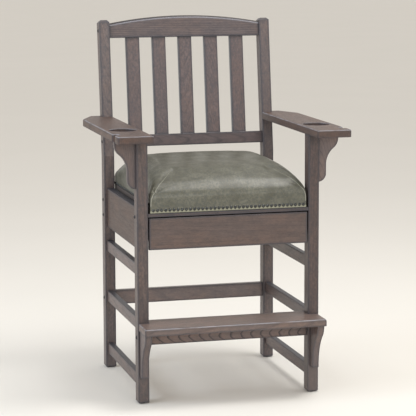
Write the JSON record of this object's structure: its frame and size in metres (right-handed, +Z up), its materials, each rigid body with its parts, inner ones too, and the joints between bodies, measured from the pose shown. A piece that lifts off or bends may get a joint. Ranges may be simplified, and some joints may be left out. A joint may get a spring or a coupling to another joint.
{
  "type": "bar-height spectator armchair",
  "caption": "Tall wooden armchair with a crowned leather seat, raked slatted back, footrest, arms with cup recesses and cue notches, and a sliding drawer under the seat.",
  "frame": {"origin": "on the floor, below the centre of the bounding box", "axes": "+Z up, -Y towards the front that a sitter faces, X across the chair"},
  "size_m": [0.778, 0.72, 1.2376],
  "materials": {
    "stained_wood": "grey-brown stain with open grain under a satin lacquer",
    "drawer_wood": "clear lacquered poplar",
    "seat_board_wood": "dark painted edge",
    "leather": "mottled grey-olive leather with a soft shine",
    "nails": "dark pewter domes",
    "dark_bolts": "black oxide",
    "zinc_steel": "zinc plated",
    "glides": "hard nylon"
  },
  "bodies": {
    "frame": {"arm_corbel_left": "stained_wood", "arm_corbel_right": "stained_wood", "armrest_left": "stained_wood", "armrest_right": "stained_wood", "back_slat_1": "stained_wood", "back_slat_2": "stained_wood", "back_slat_3": "stained_wood", "back_slat_4": "stained_wood", "back_slat_5": "stained_wood", "barrel_nuts": "zinc_steel", "crest_rail": "stained_wood", "drawer_slide_channel_left": "zinc_steel", "drawer_slide_channel_right": "zinc_steel", "floor_glides": "glides", "footrest_board": "stained_wood", "footrest_bracket_left": "stained_wood", "footrest_bracket_right": "stained_wood", "footrest_rail": "stained_wood", "frame_bolts": "dark_bolts", "front_post_left": "stained_wood", "front_post_right": "stained_wood", "front_seat_rail": "stained_wood", "lower_back_rail": "stained_wood", "lower_side_stretcher_left": "stained_wood", "lower_side_stretcher_right": "stained_wood", "middle_side_stretcher_left": "stained_wood", "middle_side_stretcher_right": "stained_wood", "nailhead_trim": "nails", "rear_apron": "stained_wood", "rear_post_left": "stained_wood", "rear_post_right": "stained_wood", "rear_stretcher": "stained_wood", "seat_board": "seat_board_wood", "seat_board_screws": "zinc_steel", "seat_cleat_left": "stained_wood", "seat_cleat_right": "stained_wood", "seat_cushion": "leather", "side_apron_left": "stained_wood", "side_apron_right": "stained_wood", "upper_side_stretcher_left": "stained_wood", "upper_side_stretcher_right": "stained_wood"},
    "drawer": {"drawer_back": "drawer_wood", "drawer_bottom": "drawer_wood", "drawer_front": "stained_wood", "drawer_front_screws": "zinc_steel", "drawer_inner_front": "drawer_wood", "drawer_side_left": "drawer_wood", "drawer_side_right": "drawer_wood", "drawer_slide_member_left": "zinc_steel", "drawer_slide_member_right": "zinc_steel"}
  },
  "joints": [
    {"name": "drawer_slide", "type": "slide", "parent": "frame", "child": "drawer", "axis": [0, -1, 0], "range_m": [0, 0.3]}
  ]
}
